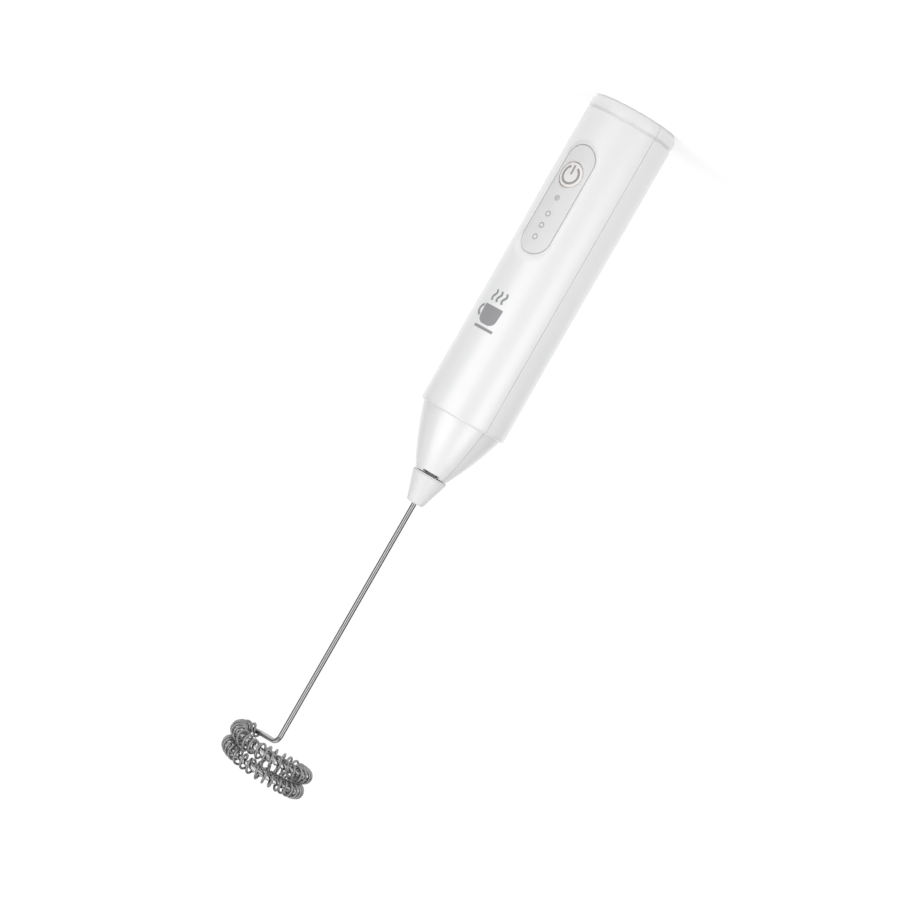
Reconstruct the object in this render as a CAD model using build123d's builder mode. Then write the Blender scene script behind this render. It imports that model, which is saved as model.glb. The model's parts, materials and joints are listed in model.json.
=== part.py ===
from build123d import *
import os
from math import cos, pi, radians, sin, tan

# Rechargeable hand-held milk frother, in millimetres.
# It stands on its flat cap end: the origin is the centre of that face, +Z runs along the long axis
# towards the whisk, and the power button faces -Y.

# ---- Handle housing -------------------------------------------------------------------------------
HANDLE_R = 15.0
HANDLE_LENGTH = 111.4          # cap end to the step above the nose
BORE_R = 13.2
END_WALL = 1.8
CAP_EDGE_R = 2.4
STEP_EDGE_R = 1.0
GROOVE_Z = 4.7
GROOVE_WIDTH = 1.0
GROOVE_DEPTH = 0.45
NOSE_BASE_R = 13.85
NOSE_MID_R = 10.32
NOSE_TIP_R = 5.6
NOSE_TIP_Z = 131.2
NOSE_LIP_R = 3.7               # hole in the tip of the nose
SEAL_SEAT_R = 4.3
SEAL_SEAT_Z = 124.5
SEAL_TOP_Z = 129.3
NOSE_INNER_BASE_R = 12.0
NOSE_INNER_TOP_R = 8.2
RIB_R = 12.2                   # ring rib behind the rear motor cushion
RIB_Z = 83.4
RIB_THICKNESS = 1.0
NOTCH_WIDTH = 5.6              # finger notches in the rim of the nose
NOTCH_DEPTH = 0.8
NOTCH_DEG = -126.0

# The two shells meet on a wedge whose apex lies behind the axis.
SEAM_APEX_Y = 2.96
SEAM_HALF_DEG = 61.5
SEAM_GAP = 0.08

# ---- Control panel, button and lights ---------------------------------------------------------------
PANEL_LOW_Z = 17.0
PANEL_LENGTH = 38.2
PANEL_WIDTH = 11.3
PANEL_R = 14.7                 # radius of the panel's outer face about the handle's axis
PANEL_THICKNESS = 0.8
PANEL_GAP = 0.1
RECESS_MARGIN = 0.9
PAD_Y = 11.2                   # inner face of the thick pad behind the panel
BUTTON_Z = 27.45
BUTTON_R = 4.3
BUTTON_FACE_R = 14.8
BUTTON_TRAVEL = 0.4
BUTTON_FLANGE_R = 5.2
BUTTON_FLANGE = 0.6
BUTTON_CLEAR = 0.3
BUTTON_HOLE_R = 4.5
BEZEL_R = 4.75
BEZEL_INNER_R = 4.4
BEZEL_FACE_R = 14.88
STATUS_Z = 35.8
SPEED_Z = (41.5, 45.6, 49.7)
LIGHT_R = 0.95
LIGHT_FLANGE_R = 1.5
LIGHT_FLANGE = 0.6
LIGHT_END_Y = 9.1
LIGHT_FACE_R = 14.76

# ---- Board -------------------------------------------------------------------------------------------
BOARD_FRONT_Y = 8.0
BOARD_THICKNESS = 1.0
BOARD_LOW_Z = 2.4
BOARD_TOP_Z = 71.5
BOARD_WIDTH = 17.0
BOARD_SCREW_X = 6.4
BOARD_SCREW_Z = (14.0, 61.0)
BOARD_REAR_Y = BOARD_FRONT_Y - BOARD_THICKNESS
SWITCH_SIZE = 4.5
SWITCH_HEIGHT = 1.6
STEM_R = 1.0
LED_SIZE = (1.6, 0.8, 0.6)
USB_WIDTH = 8.94
USB_HEIGHT = 3.2
USB_DEPTH = 7.35
USB_MOUTH_Z = 0.5
USB_WALL = 0.25
USB_CLEAR = 0.13

# ---- Cell and inner frame -------------------------------------------------------------------------
CELL_Y = 4.0
CELL_R = 7.1
CELL_LOW_Z = 14.6
CELL_LENGTH = 49.0
TAB_THICKNESS = 0.2
TAB_WIDTH = 4.0
TAB_END_Y = -3.2
PAD_R = 5.9
FRAME_FRONT_Y = 5.4
FRAME_THICKNESS = 1.2
FRAME_WIDTH = 16.0
FRAME_LOW_Z = 10.4
FRAME_TOP_Z = 67.8
BULKHEAD = 1.6
FOOT_FRONT_Y = 2.0
FOOT_THICKNESS = 1.6
FOOT_WIDTH = 7.0
FOOT_LOW_Z = 4.0
FOOT_TOP_Z = 75.8
FRAME_SCREW_Z = (7.0, 72.0)
POST_R = 2.6

# ---- Motor, coupling and cushions -------------------------------------------------------------------
CAN_R = 10.05
CAN_HALF_FLAT = 7.55
CAN_LOW_Z = 83.2
CAN_TOP_Z = 108.2
CAN_WALL = 0.8
CAN_BOSS_R = 3.08
CAN_BOSS_Z = CAN_TOP_Z + 1.4
END_CAP_LOW_Z = CAN_LOW_Z - 2.0
END_CAP_INNER_Z = CAN_LOW_Z + 1.4
END_BOSS_Z = END_CAP_LOW_Z - 1.6
TERMINAL_X = 7.5
TERMINAL_WIDTH = 2.0
TERMINAL_THICKNESS = 0.4
TERMINAL_LOW_Z = END_CAP_LOW_Z - 3.2
COMMUTATOR_R = 2.2
COMMUTATOR_LENGTH = 3.2
BRUSH_WIDTH = 2.0
BUSH_R = 2.4
SHAFT_R = 1.0
RUNNING_CLEAR = 0.04
CORE_LOW_Z = 91.0
CORE_TOP_Z = 102.0
CORE_R = 6.3
CUSHION_LENGTH = 5.0
SHOULDER_Z = 108.6
COUPLING_LOW_Z = 112.4
COUPLING_TOP_Z = 131.2
COUPLING_R = 3.2
COUPLING_GRIP = 10.0           # length of motor shaft pressed into the coupling
HEX_FLATS = 3.7

# ---- Whisk head ------------------------------------------------------------------------------------------
WASHER_LOW_Z = 131.5           # grey washer between the nose and the collar
WASHER_R = 5.8
WASHER_INNER_R = 2.3
COLLAR_BASE_Z = 132.0
COLLAR_TOP_Z = 141.65
COLLAR_BASE_R = 5.95
COLLAR_TOP_R = 2.85
COLLAR_ROUND = 0.8
SPIGOT_LOW_Z = 125.4
WIRE_R = 0.875
RING_R = 12.9
RING_PITCH = 5.5
RING_DEG = -15.0               # where the wire joins the ring; the ring then runs clockwise
RING_Z = 231.6                 # height of the core wire there
HOOK_Z = 229.8
HOOK_LEAD_DEG = 25.0
HOOK_BEND_R = 2.6
LEAD_BEND_R = 3.6              # where the hook's wire turns into the ring
SIDES = 8                      # straight-and-arc spans in one turn of the core ring
CORNERS = 15                   # spans in the whole core ring
COIL_R = 2.28                  # centre line of the coil spring about the core wire
COIL_END_R = 1.6
COIL_WIRE_R = 0.42
COIL_LOOPS = 62
COIL_START = 113.3             # where the coil starts, along the core wire from its lower end
COIL_END_GAP = 1.2             # core wire left bare past the coil's end

LEAD_R = 0.4


def save(builder, name):
    """Label a finished sub-part and write its file."""
    builder.part.label = name
    export_step(builder.part, f"parts/{name}.step")


def slab(low_z, high_z, mode, radius):
    """A disc about the handle's axis, from low_z to high_z."""
    with BuildSketch(Plane.XY.offset(low_z)) as disc:
        Circle(radius)
    extrude(disc.sketch, amount=high_z - low_z, mode=mode)


def front_block(width, low_z, high_z, front_y, rear_y, mode=Mode.ADD, x=0.0):
    """A block between the planes y = -front_y and y = -rear_y."""
    with BuildSketch(Plane.XZ.offset(rear_y)) as block:
        with Locations((x, (low_z + high_z) / 2)):
            Rectangle(width, high_z - low_z)
    extrude(block.sketch, amount=front_y - rear_y, mode=mode)


def front_rod(radius, z, front_y, rear_y, mode=Mode.ADD, x=0.0):
    """A round rod along Y between the planes y = -front_y and y = -rear_y."""
    with BuildSketch(Plane.XZ.offset(rear_y)) as rod:
        with Locations((x, z)):
            Circle(radius)
    extrude(rod.sketch, amount=front_y - rear_y, mode=mode)


def curved_pill(margin, inner_r, outer_r):
    """The panel's pill outline, grown by margin, cut from the shell between two radii."""
    with BuildPart() as pill:
        with BuildSketch(Plane.XZ.offset(PAD_Y)):
            with Locations((0, PANEL_LOW_Z + PANEL_LENGTH / 2)):
                SlotOverall(PANEL_LENGTH + 2 * margin, PANEL_WIDTH + 2 * margin, rotation=90)
        extrude(amount=HANDLE_R + 1 - PAD_Y)
        slab(0, HANDLE_LENGTH, Mode.INTERSECT, outer_r)
        slab(0, HANDLE_LENGTH, Mode.SUBTRACT, inner_r)
    return pill.part


def panel_pad():
    """The thick flat pad behind the panel, kept inside the handle's wall."""
    with BuildPart() as pad:
        front_block(15.0, PANEL_LOW_Z - 3, PANEL_LOW_Z + PANEL_LENGTH + 3, HANDLE_R, PAD_Y)
        slab(0, HANDLE_LENGTH, Mode.INTERSECT, (BORE_R + HANDLE_R) / 2)
    return pad.part


# ---- Housing ------------------------------------------------------------------------------------------
def housing_body():
    """Both shells as one turned body, drawn on the XZ plane and revolved about the axis."""
    cap_x = HANDLE_R - CAP_EDGE_R
    step_x = HANDLE_R - STEP_EDGE_R
    step_z = HANDLE_LENGTH - STEP_EDGE_R
    with BuildSketch(Plane.XZ) as outline:
        with BuildLine():
            Line((0, 0), (cap_x, 0))
            CenterArc((cap_x, CAP_EDGE_R), CAP_EDGE_R, -90, 90)
            Polyline(
                (HANDLE_R, CAP_EDGE_R),
                (HANDLE_R, GROOVE_Z - GROOVE_WIDTH / 2),
                (HANDLE_R - GROOVE_DEPTH, GROOVE_Z),
                (HANDLE_R, GROOVE_Z + GROOVE_WIDTH / 2),
                (HANDLE_R, step_z),
            )
            CenterArc((step_x, step_z), STEP_EDGE_R, 0, 90)
            Line((step_x, HANDLE_LENGTH), (NOSE_BASE_R, HANDLE_LENGTH))
            ThreePointArc(
                (NOSE_BASE_R, HANDLE_LENGTH),
                (NOSE_MID_R, (HANDLE_LENGTH + NOSE_TIP_Z) / 2),
                (NOSE_TIP_R, NOSE_TIP_Z),
            )
            Polyline(
                (NOSE_TIP_R, NOSE_TIP_Z),
                (NOSE_LIP_R, NOSE_TIP_Z),
                (NOSE_LIP_R, SEAL_TOP_Z),
                (SEAL_SEAT_R, SEAL_TOP_Z),
                (SEAL_SEAT_R, SEAL_SEAT_Z - 2),
                (NOSE_INNER_TOP_R, SEAL_SEAT_Z - 2),
                (NOSE_INNER_BASE_R, SHOULDER_Z + 0.8),
                (NOSE_INNER_BASE_R, SHOULDER_Z),
                (BORE_R, SHOULDER_Z),
                (BORE_R, RIB_Z + RIB_THICKNESS),
                (RIB_R, RIB_Z + RIB_THICKNESS),
                (RIB_R, RIB_Z),
                (BORE_R, RIB_Z),
                (BORE_R, END_WALL),
                (0, END_WALL),
                (0, 0),
            )
        make_face()
    revolve(outline.sketch, axis=Axis.Z)


def seam_wedge(mode, shift):
    """The wedge that the front cover fills, moved back along +Y by shift."""
    reach = 3 * HANDLE_R
    side = reach * sin(radians(SEAM_HALF_DEG))
    ahead = reach * cos(radians(SEAM_HALF_DEG))
    apex = SEAM_APEX_Y + shift
    with BuildSketch(Plane.XY.offset(-1)) as wedge:
        with BuildLine():
            Polyline((0, apex), (-side, apex - ahead), (side, apex - ahead), close=True)
        make_face()
    extrude(wedge.sketch, amount=NOSE_TIP_Z + 2, mode=mode)


def rim_notch(turn):
    """A rectangular notch in the rim of the nose, at turn degrees about the axis."""
    with BuildSketch(Plane.XY.offset(NOSE_TIP_Z - NOTCH_DEPTH).rotated((0, 0, turn))) as notch:
        with Locations((NOSE_TIP_R, 0)):
            Rectangle(NOSE_TIP_R, NOTCH_WIDTH)
    extrude(notch.sketch, amount=NOTCH_DEPTH + 1, mode=Mode.SUBTRACT)


def make_front_cover():
    pad = panel_pad()
    pocket = curved_pill(PANEL_GAP, PANEL_R - PANEL_THICKNESS, HANDLE_R + 1)
    recess = curved_pill(RECESS_MARGIN, PANEL_R, HANDLE_R + 1)
    with BuildPart() as front_cover:
        housing_body()
        seam_wedge(Mode.INTERSECT, 0)
        add(pad)
        add(pocket, mode=Mode.SUBTRACT)
        add(recess, mode=Mode.SUBTRACT)
        front_rod(BUTTON_HOLE_R, BUTTON_Z, HANDLE_R, PAD_Y - 1, Mode.SUBTRACT)
        for z in (STATUS_Z, *SPEED_Z):
            front_rod(LIGHT_R, z, HANDLE_R, PAD_Y - 1, Mode.SUBTRACT)
        with BuildSketch(Plane.XY.offset(-1)):
            with Locations((0, -BOARD_REAR_Y + USB_HEIGHT / 2)):
                SlotOverall(USB_WIDTH + 2 * USB_CLEAR, USB_HEIGHT + 2 * USB_CLEAR)
        extrude(amount=END_WALL + 2, mode=Mode.SUBTRACT)
        rim_notch(NOTCH_DEG)
    save(front_cover, "front_cover")


def make_rear_housing():
    with BuildPart() as rear_housing:
        housing_body()
        seam_wedge(Mode.SUBTRACT, SEAM_GAP / sin(radians(SEAM_HALF_DEG)))
        foot_rear_y = FOOT_FRONT_Y + FOOT_THICKNESS
        for z in FRAME_SCREW_Z:
            front_rod(POST_R, z, -foot_rear_y, -BORE_R - 0.2)
            front_rod(SHAFT_R, z, -foot_rear_y, -foot_rear_y - 6, Mode.SUBTRACT)
        rim_notch(NOTCH_DEG + 180)
    save(rear_housing, "rear_housing")


# ---- Control panel -----------------------------------------------------------------------------------
def make_control_panel():
    pill = curved_pill(0, PANEL_R - PANEL_THICKNESS, PANEL_R)
    with BuildPart() as control_panel:
        add(pill)
        front_rod(BEZEL_R, BUTTON_Z, HANDLE_R, PAD_Y, Mode.SUBTRACT)
        for z in (STATUS_Z, *SPEED_Z):
            front_rod(LIGHT_R, z, HANDLE_R, PAD_Y, Mode.SUBTRACT)
    save(control_panel, "control_panel")


def make_button_bezel():
    with BuildPart() as button_bezel:
        front_rod(BEZEL_R, BUTTON_Z, HANDLE_R, PAD_Y)
        front_rod(BEZEL_INNER_R, BUTTON_Z, HANDLE_R, PAD_Y, Mode.SUBTRACT)
        slab(0, HANDLE_LENGTH, Mode.INTERSECT, BEZEL_FACE_R)
        slab(0, HANDLE_LENGTH, Mode.SUBTRACT, PANEL_R - PANEL_THICKNESS)
    save(button_bezel, "button_bezel")


def make_power_button():
    flange_y = PAD_Y - BUTTON_CLEAR
    with BuildPart() as power_button:
        front_rod(BUTTON_R, BUTTON_Z, HANDLE_R, flange_y)
        slab(0, HANDLE_LENGTH, Mode.INTERSECT, BUTTON_FACE_R)
        front_rod(BUTTON_FLANGE_R, BUTTON_Z, flange_y, flange_y - BUTTON_FLANGE)
    save(power_button, "power_button")


def make_switch_plunger():
    top_y = PAD_Y - BUTTON_CLEAR - BUTTON_FLANGE
    with BuildPart() as switch_plunger:
        front_rod(STEM_R, BUTTON_Z, top_y, BOARD_FRONT_Y + BUTTON_TRAVEL + 0.3)
    save(switch_plunger, "switch_plunger")


def light_window(z):
    """A light guide: the visible window, its stem and the flange behind the cover's pad."""
    front_rod(LIGHT_R, z, HANDLE_R, LIGHT_END_Y)
    front_rod(LIGHT_FLANGE_R, z, PAD_Y, PAD_Y - LIGHT_FLANGE)


def make_lights():
    with BuildPart() as status_light:
        light_window(STATUS_Z)
        slab(0, HANDLE_LENGTH, Mode.INTERSECT, LIGHT_FACE_R)
    save(status_light, "status_light")
    with BuildPart() as speed_lights:
        for z in SPEED_Z:
            light_window(z)
        slab(0, HANDLE_LENGTH, Mode.INTERSECT, LIGHT_FACE_R)
    save(speed_lights, "speed_lights")


# ---- Board and what it carries -------------------------------------------------------------------------
def make_main_board():
    with BuildPart() as main_board:
        front_block(BOARD_WIDTH, BOARD_LOW_Z, BOARD_TOP_Z, BOARD_FRONT_Y, BOARD_REAR_Y)
        fillet(main_board.edges().filter_by(Axis.Y), 1.5)
        for z in BOARD_SCREW_Z:
            for x in (-BOARD_SCREW_X, BOARD_SCREW_X):
                front_rod(0.9, z, BOARD_FRONT_Y, BOARD_REAR_Y, Mode.SUBTRACT, x)
    save(main_board, "main_board")


def make_board_screws():
    head_r = 1.5
    head = 0.9
    shank_r = 0.8
    with BuildPart() as board_screws:
        for z in BOARD_SCREW_Z:
            for x in (-BOARD_SCREW_X, BOARD_SCREW_X):
                front_rod(head_r, z, BOARD_FRONT_Y + head, BOARD_FRONT_Y, x=x)
                front_rod(shank_r, z, BOARD_FRONT_Y, FRAME_FRONT_Y - 0.8, x=x)
                front_block(2.0, z - 0.2, z + 0.2, BOARD_FRONT_Y + head, BOARD_FRONT_Y + 0.5,
                            Mode.SUBTRACT, x)
                front_block(0.4, z - 1, z + 1, BOARD_FRONT_Y + head, BOARD_FRONT_Y + 0.5,
                            Mode.SUBTRACT, x)
    save(board_screws, "board_screws")


def make_tact_switch():
    with BuildPart() as tact_switch:
        front_block(SWITCH_SIZE, BUTTON_Z - SWITCH_SIZE / 2, BUTTON_Z + SWITCH_SIZE / 2,
                    BOARD_FRONT_Y + SWITCH_HEIGHT, BOARD_FRONT_Y)
        front_rod(STEM_R + 0.05, BUTTON_Z, BOARD_FRONT_Y + SWITCH_HEIGHT, BOARD_FRONT_Y + 0.2,
                  Mode.SUBTRACT)
    save(tact_switch, "tact_switch")


def make_board_leds():
    width, length, height = LED_SIZE
    with BuildPart() as board_leds:
        for z in (STATUS_Z, *SPEED_Z):
            front_block(width, z - length / 2, z + length / 2, BOARD_FRONT_Y + height, BOARD_FRONT_Y)
    save(board_leds, "board_leds")


def make_chip(name, z, width, length, height):
    """A small-outline chip with four gull-wing pins a side, on the board's front face."""
    pin_pitch = 1.27
    with BuildPart() as chip:
        front_block(width, z - length / 2, z + length / 2,
                    BOARD_FRONT_Y + height, BOARD_FRONT_Y + 0.1)
        for row in range(4):
            pin_z = z + (row - 1.5) * pin_pitch * length / 5.2
            front_block(width + 2.0, pin_z - 0.2, pin_z + 0.2, BOARD_FRONT_Y + 0.3, BOARD_FRONT_Y)
    save(chip, name)


def make_usb_socket():
    centre_y = -BOARD_REAR_Y + USB_HEIGHT / 2
    with BuildPart() as usb_socket:
        with BuildSketch(Plane.XY.offset(USB_MOUTH_Z)):
            with Locations((0, centre_y)):
                SlotOverall(USB_WIDTH, USB_HEIGHT)
        extrude(amount=USB_DEPTH)
        with BuildSketch(Plane.XY.offset(USB_MOUTH_Z)):
            with Locations((0, centre_y)):
                SlotOverall(USB_WIDTH - 2 * USB_WALL, USB_HEIGHT - 2 * USB_WALL)
        extrude(amount=USB_DEPTH - USB_WALL, mode=Mode.SUBTRACT)
    save(usb_socket, "usb_socket")
    with BuildPart() as usb_tongue:
        back_z = USB_MOUTH_Z + USB_DEPTH - USB_WALL
        with BuildSketch(Plane.XY.offset(back_z)):
            with Locations((0, centre_y)):
                SlotOverall(USB_WIDTH - 2 * USB_WALL, USB_HEIGHT - 2 * USB_WALL)
        extrude(amount=-1.6)
        with BuildSketch(Plane.XY.offset(back_z - 1.6)):
            with Locations((0, centre_y)):
                Rectangle(6.7, 0.7)
        extrude(amount=-4.7)
    save(usb_tongue, "usb_tongue")


# ---- Cell and inner frame ----------------------------------------------------------------------------
def cell_disc(radius, low_z, high_z, mode=Mode.ADD):
    with BuildSketch(Plane.XY.offset(low_z)) as disc:
        with Locations((0, CELL_Y)):
            Circle(radius)
    extrude(disc.sketch, amount=high_z - low_z, mode=mode)


def make_battery():
    cell_top_z = CELL_LOW_Z + CELL_LENGTH
    with BuildPart() as battery_cell:
        cell_disc(CELL_R, CELL_LOW_Z, cell_top_z)
        fillet(battery_cell.edges().filter_by(GeomType.CIRCLE), 0.5)
    save(battery_cell, "battery_cell")
    tab_middle_y = (CELL_Y + TAB_WIDTH / 2 + TAB_END_Y) / 2
    tab_length = CELL_Y + TAB_WIDTH / 2 - TAB_END_Y
    with BuildPart() as battery_tabs:
        for low_z in (CELL_LOW_Z - TAB_THICKNESS, cell_top_z):
            with BuildSketch(Plane.XY.offset(low_z)):
                with Locations((0, tab_middle_y)):
                    Rectangle(TAB_WIDTH, tab_length)
            extrude(amount=TAB_THICKNESS)
    save(battery_tabs, "battery_tabs")
    with BuildPart() as battery_pads:
        cell_disc(PAD_R, FRAME_LOW_Z + BULKHEAD, CELL_LOW_Z - TAB_THICKNESS)
        cell_disc(PAD_R, cell_top_z + TAB_THICKNESS, FRAME_TOP_Z - BULKHEAD)
    save(battery_pads, "battery_pads")


def make_inner_frame():
    frame_rear_y = FRAME_FRONT_Y - FRAME_THICKNESS
    notch_width = 6.0
    rail_gap = 0.2
    with BuildPart() as inner_frame:
        front_block(FRAME_WIDTH, FRAME_LOW_Z, FRAME_TOP_Z, FRAME_FRONT_Y, frame_rear_y)
        for low_z in (FRAME_LOW_Z, FRAME_TOP_Z - BULKHEAD):
            front_block(FRAME_WIDTH - 2, low_z, low_z + BULKHEAD, frame_rear_y, -10.0)
        front_block(FOOT_WIDTH, FOOT_LOW_Z, FRAME_LOW_Z + BULKHEAD,
                    -FOOT_FRONT_Y, -FOOT_FRONT_Y - FOOT_THICKNESS)
        front_block(FOOT_WIDTH, FRAME_TOP_Z - BULKHEAD, FOOT_TOP_Z,
                    -FOOT_FRONT_Y, -FOOT_FRONT_Y - FOOT_THICKNESS)
        for x in (-1, 1):
            front_block(1.0, 20, 58, frame_rear_y, -CELL_Y, x=x * (CELL_R + rail_gap + 0.5))
        for z in BOARD_SCREW_Z:
            for x in (-BOARD_SCREW_X, BOARD_SCREW_X):
                front_rod(1.5, z, BOARD_REAR_Y, FRAME_FRONT_Y, x=x)
        for low_z in (FRAME_LOW_Z, FRAME_TOP_Z - BULKHEAD):
            front_block(notch_width, low_z, low_z + BULKHEAD, FRAME_FRONT_Y, 1.2, Mode.SUBTRACT)
        for low_z, high_z in ((24, 36), (42, 54)):
            front_block(9.0, low_z, high_z, FRAME_FRONT_Y, frame_rear_y, Mode.SUBTRACT)
        for z in BOARD_SCREW_Z:
            for x in (-BOARD_SCREW_X, BOARD_SCREW_X):
                front_rod(0.8, z, BOARD_REAR_Y, FRAME_FRONT_Y - 0.8, Mode.SUBTRACT, x)
        for z in FRAME_SCREW_Z:
            front_rod(1.1, z, -FOOT_FRONT_Y, -FOOT_FRONT_Y - FOOT_THICKNESS, Mode.SUBTRACT)
    save(inner_frame, "inner_frame")


def make_frame_screws():
    head_r = 1.9
    head = 1.3
    shank_end_y = FOOT_FRONT_Y + FOOT_THICKNESS + 5.5
    with BuildPart() as frame_screws:
        for z in FRAME_SCREW_Z:
            front_rod(head_r, z, -FOOT_FRONT_Y + head, -FOOT_FRONT_Y)
            front_rod(SHAFT_R, z, -FOOT_FRONT_Y, -shank_end_y)
            front_block(2.6, z - 0.25, z + 0.25, -FOOT_FRONT_Y + head, -FOOT_FRONT_Y + 0.7,
                        Mode.SUBTRACT)
            front_block(0.5, z - 1.3, z + 1.3, -FOOT_FRONT_Y + head, -FOOT_FRONT_Y + 0.7,
                        Mode.SUBTRACT)
    save(frame_screws, "frame_screws")


# ---- Motor ----------------------------------------------------------------------------------------------
def motor_section(inset):
    """The motor's cross-section: a circle with two flats, drawn in by inset."""
    Circle(CAN_R - inset)
    Rectangle(2 * CAN_R, 2 * (CAN_HALF_FLAT - inset), mode=Mode.INTERSECT)


def motor_prism(low_z, high_z, inset=0.0, mode=Mode.ADD):
    with BuildSketch(Plane.XY.offset(low_z)) as section:
        motor_section(inset)
    extrude(section.sketch, amount=high_z - low_z, mode=mode)


def ring(inner_r, outer_r, low_z, high_z):
    """A plain ring about the axis."""
    with BuildSketch(Plane.XY.offset(low_z)) as annulus:
        Circle(outer_r)
        Circle(inner_r, mode=Mode.SUBTRACT)
    extrude(annulus.sketch, amount=high_z - low_z)


def make_motor_can():
    with BuildPart() as motor_can:
        motor_prism(CAN_LOW_Z, CAN_TOP_Z)
        slab(CAN_TOP_Z, CAN_BOSS_Z, Mode.ADD, CAN_BOSS_R)
        motor_prism(CAN_LOW_Z, CAN_TOP_Z - CAN_WALL, CAN_WALL, Mode.SUBTRACT)
        slab(CAN_TOP_Z - CAN_WALL, CAN_BOSS_Z, Mode.SUBTRACT, BUSH_R)
    save(motor_can, "motor_can")


def make_motor_end_cap():
    with BuildPart() as motor_end_cap:
        motor_prism(END_CAP_LOW_Z, CAN_LOW_Z)
        motor_prism(CAN_LOW_Z, END_CAP_INNER_Z, CAN_WALL)
        slab(END_BOSS_Z, END_CAP_LOW_Z, Mode.ADD, CAN_BOSS_R)
        slab(END_BOSS_Z, END_CAP_INNER_Z, Mode.SUBTRACT, BUSH_R)
        for x in (-TERMINAL_X, TERMINAL_X):
            with BuildSketch(Plane.XY.offset(END_CAP_LOW_Z)):
                with Locations((x, 0)):
                    Rectangle(TERMINAL_THICKNESS, TERMINAL_WIDTH)
            extrude(amount=END_CAP_INNER_Z - END_CAP_LOW_Z, mode=Mode.SUBTRACT)
    save(motor_end_cap, "motor_end_cap")


def make_motor_magnets():
    magnet_inner_r = CORE_R + 0.3
    with BuildPart() as motor_magnets:
        ring(magnet_inner_r, CAN_R - CAN_WALL, CORE_LOW_Z - 2, CORE_TOP_Z + 2)
        with BuildSketch(Plane.XY.offset(CORE_LOW_Z - 2)):
            Rectangle(2 * CAN_R, 9.0)
        extrude(amount=CORE_TOP_Z - CORE_LOW_Z + 4, mode=Mode.INTERSECT)
    save(motor_magnets, "motor_magnets")


def make_motor_bushes():
    with BuildPart() as motor_bushes:
        ring(SHAFT_R + RUNNING_CLEAR, BUSH_R, END_BOSS_Z, END_CAP_INNER_Z)
        ring(SHAFT_R + RUNNING_CLEAR, BUSH_R, CAN_TOP_Z - CAN_WALL, CAN_BOSS_Z)
    save(motor_bushes, "motor_bushes")


def make_motor_shaft():
    with BuildPart() as motor_shaft:
        slab(END_BOSS_Z - 0.6, COUPLING_LOW_Z + COUPLING_GRIP, Mode.ADD, SHAFT_R)
        chamfer(motor_shaft.edges().filter_by(GeomType.CIRCLE), 0.2)
    save(motor_shaft, "motor_shaft")


def make_armature():
    core_length = CORE_TOP_Z - CORE_LOW_Z
    hub_r = 2.2
    shoe_r = 5.0
    with BuildPart() as armature_core:
        with BuildSketch(Plane.XY.offset(CORE_LOW_Z)):
            Circle(CORE_R)
            Circle(shoe_r, mode=Mode.SUBTRACT)
            with PolarLocations(CORE_R, 3, start_angle=60):
                Rectangle(4, 1.6, mode=Mode.SUBTRACT)
            Circle(hub_r)
            with PolarLocations((hub_r + shoe_r) / 2, 3):
                Rectangle(shoe_r - hub_r + 1.2, 2.0)
            Circle(SHAFT_R, mode=Mode.SUBTRACT)
        extrude(amount=core_length)
    save(armature_core, "armature_core")
    with BuildPart() as armature_windings:
        for turn in (0, 120, 240):
            pole = Plane(origin=(0, 0, (CORE_LOW_Z + CORE_TOP_Z) / 2), x_dir=(0, 0, 1),
                         z_dir=(cos(radians(turn)), sin(radians(turn)), 0))
            with BuildSketch(pole.offset(2.5)):
                RectangleRounded(core_length + 2.4, 4.4, 1.0)
                Rectangle(core_length, 2.0, mode=Mode.SUBTRACT)
            extrude(amount=1.9)
    save(armature_windings, "armature_windings")


def make_commutator():
    low_z = END_CAP_INNER_Z + 0.5
    with BuildPart() as commutator:
        ring(SHAFT_R, COMMUTATOR_R, low_z, low_z + COMMUTATOR_LENGTH)
        with BuildSketch(Plane.XY.offset(low_z)):
            with PolarLocations(COMMUTATOR_R, 3, start_angle=60):
                Rectangle(0.6, 0.25)
        extrude(amount=COMMUTATOR_LENGTH, mode=Mode.SUBTRACT)
    save(commutator, "commutator")


def make_brushes_and_terminals():
    blade = 0.25
    low_z = END_CAP_INNER_Z + 1.0
    with BuildPart() as motor_brushes:
        for side in (-1, 1):
            outer_x = TERMINAL_X - 0.2 - blade / 2
            blade_x = COMMUTATOR_R + 0.05 + blade / 2
            with BuildSketch(Plane.XY.offset(low_z)):
                with BuildLine():
                    route = Polyline((side * outer_x, 0.8 * side), (side * outer_x, -4.2 * side),
                                     (side * blade_x, -4.2 * side), (side * blade_x, 2.5 * side))
                    offset(route, amount=blade / 2, side=Side.BOTH)
                make_face()
            extrude(amount=BRUSH_WIDTH)
    save(motor_brushes, "motor_brushes")
    with BuildPart() as motor_terminals:
        for side in (-1, 1):
            with BuildSketch(Plane.XY.offset(TERMINAL_LOW_Z)):
                with Locations((side * TERMINAL_X, 0)):
                    Rectangle(TERMINAL_THICKNESS, TERMINAL_WIDTH)
            extrude(amount=low_z + BRUSH_WIDTH - TERMINAL_LOW_Z)
    save(motor_terminals, "motor_terminals")


def make_motor_cushions():
    rear_low_z = RIB_Z + RIB_THICKNESS
    with BuildPart() as motor_cushions:
        for low_z in (rear_low_z, SHOULDER_Z - CUSHION_LENGTH):
            with BuildSketch(Plane.XY.offset(low_z)):
                Circle(BORE_R)
            extrude(amount=CUSHION_LENGTH)
        motor_prism(rear_low_z, SHOULDER_Z, mode=Mode.SUBTRACT)
    save(motor_cushions, "motor_cushions")


# ---- Drive ------------------------------------------------------------------------------------------------
def hex_prism(flats, low_z, high_z, mode):
    with BuildSketch(Plane.XY.offset(low_z)) as hexagon:
        RegularPolygon(flats / 2, 6, major_radius=False)
    extrude(hexagon.sketch, amount=high_z - low_z, mode=mode)


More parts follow.
